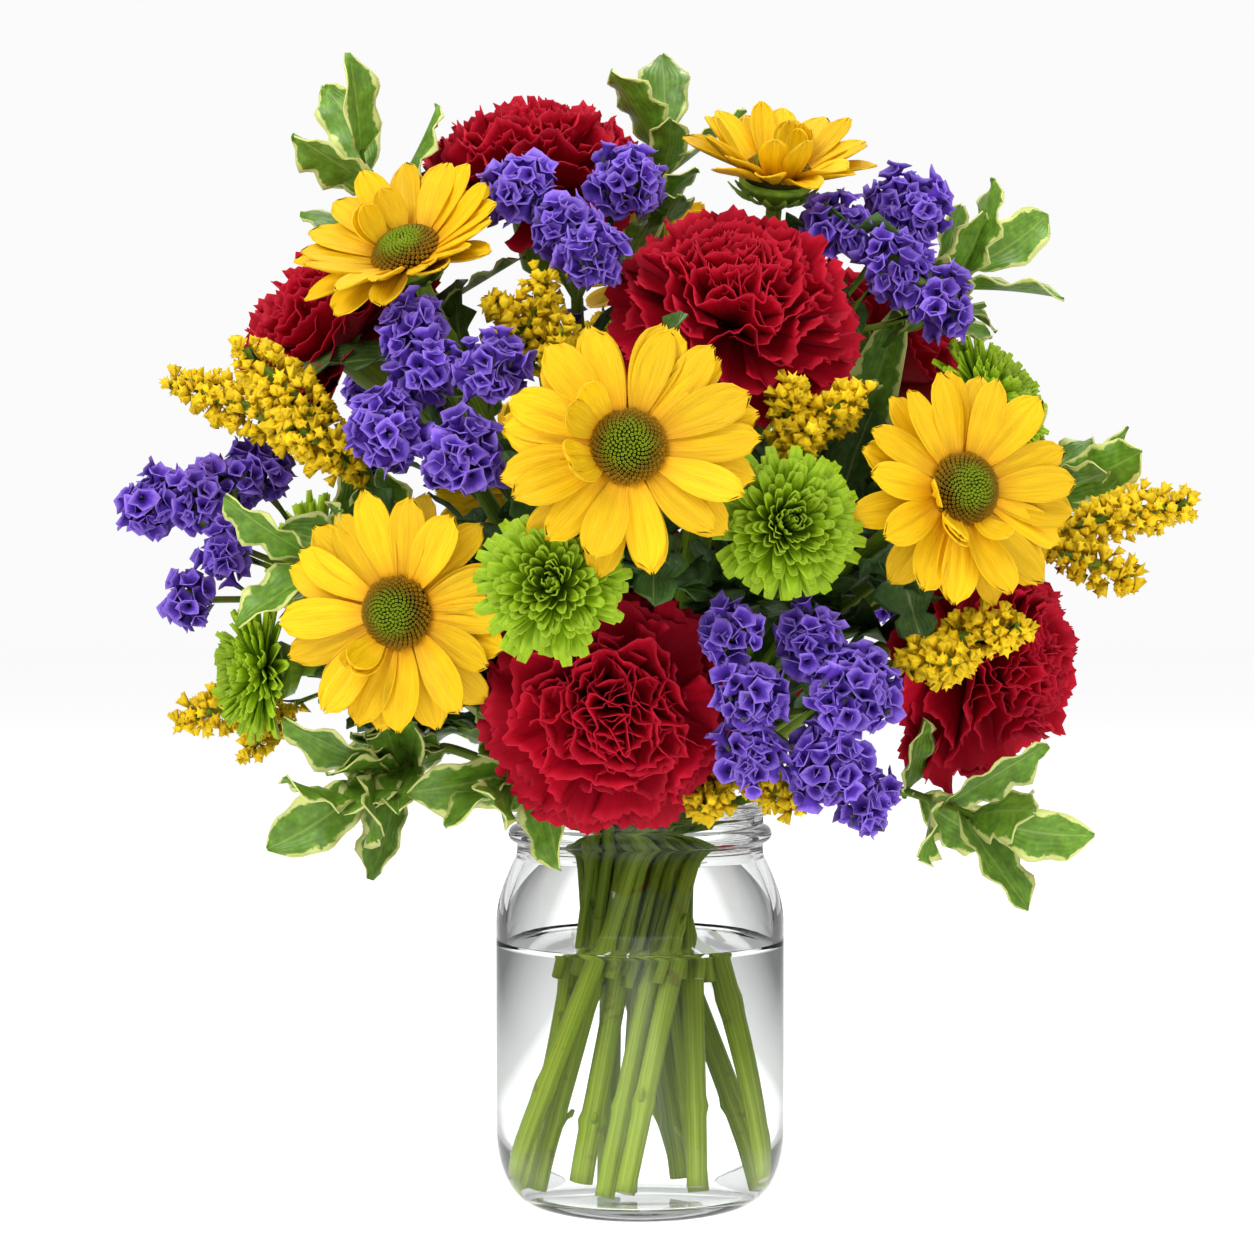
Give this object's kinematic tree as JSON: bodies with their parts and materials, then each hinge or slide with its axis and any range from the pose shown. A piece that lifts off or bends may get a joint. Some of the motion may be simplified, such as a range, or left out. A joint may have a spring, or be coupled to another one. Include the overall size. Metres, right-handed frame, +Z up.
{
  "type": "chrysanthemums in a jar",
  "caption": "Round mixed bouquet of daisy and button chrysanthemums, carnations, statice, goldenrod and variegated leaves, standing in a clear screw-top jar of water.",
  "frame": {"origin": "centre of the jar's flat foot, on the surface it stands on", "axes": "+Z up along the jar's axis, -Y towards the bouquet's front, +X to the right as seen from the front"},
  "size_m": [0.2993, 0.2148, 0.3338],
  "materials": {
    "jar_glass": "clear, smooth",
    "water": "clear, still",
    "flower_stem": "fresh green, satin",
    "yellow_petals": "soft, satin",
    "crimson_petals": "soft, velvety",
    "lime_flower": "soft, satin",
    "statice_spray": "dry, papery",
    "goldenrod_spray": "soft, matt",
    "variegated_foliage": "waxy, half gloss"
  },
  "bodies": {
    "root": {"button_mum_1": "lime_flower", "button_mum_2": "lime_flower", "button_mum_3": "lime_flower", "button_mum_4": "lime_flower", "button_mum_5": "lime_flower", "button_mum_6": "lime_flower", "carnation_1_petals": "crimson_petals", "carnation_1_stem": "flower_stem", "carnation_2_petals": "crimson_petals", "carnation_2_stem": "flower_stem", "carnation_3_petals": "crimson_petals", "carnation_3_stem": "flower_stem", "carnation_4_petals": "crimson_petals", "carnation_4_stem": "flower_stem", "carnation_5_petals": "crimson_petals", "carnation_5_stem": "flower_stem", "carnation_6_petals": "crimson_petals", "carnation_6_stem": "flower_stem", "carnation_7_petals": "crimson_petals", "carnation_7_stem": "flower_stem", "daisy_1_petals": "yellow_petals", "daisy_1_stem": "flower_stem", "daisy_2_petals": "yellow_petals", "daisy_2_stem": "flower_stem", "daisy_3_petals": "yellow_petals", "daisy_3_stem": "flower_stem", "daisy_4_petals": "yellow_petals", "daisy_4_stem": "flower_stem", "daisy_5_petals": "yellow_petals", "daisy_5_stem": "flower_stem", "daisy_6_petals": "yellow_petals", "daisy_6_stem": "flower_stem", "daisy_7_petals": "yellow_petals", "daisy_7_stem": "flower_stem", "goldenrod_1": "goldenrod_spray", "goldenrod_2": "goldenrod_spray", "goldenrod_3": "goldenrod_spray", "goldenrod_4": "goldenrod_spray", "goldenrod_5": "goldenrod_spray", "goldenrod_6": "goldenrod_spray", "goldenrod_7": "goldenrod_spray", "goldenrod_8": "goldenrod_spray", "jar": "jar_glass", "sprig_1": "variegated_foliage", "sprig_2": "variegated_foliage", "sprig_3": "variegated_foliage", "sprig_4": "variegated_foliage", "sprig_5": "variegated_foliage", "sprig_6": "variegated_foliage", "sprig_7": "variegated_foliage", "sprig_8": "variegated_foliage", "sprig_9": "variegated_foliage", "statice_1": "statice_spray", "statice_2": "statice_spray", "statice_3": "statice_spray", "statice_4": "statice_spray", "statice_5": "statice_spray", "statice_6": "statice_spray", "statice_7": "statice_spray", "water": "water"}
  },
  "joints": []
}
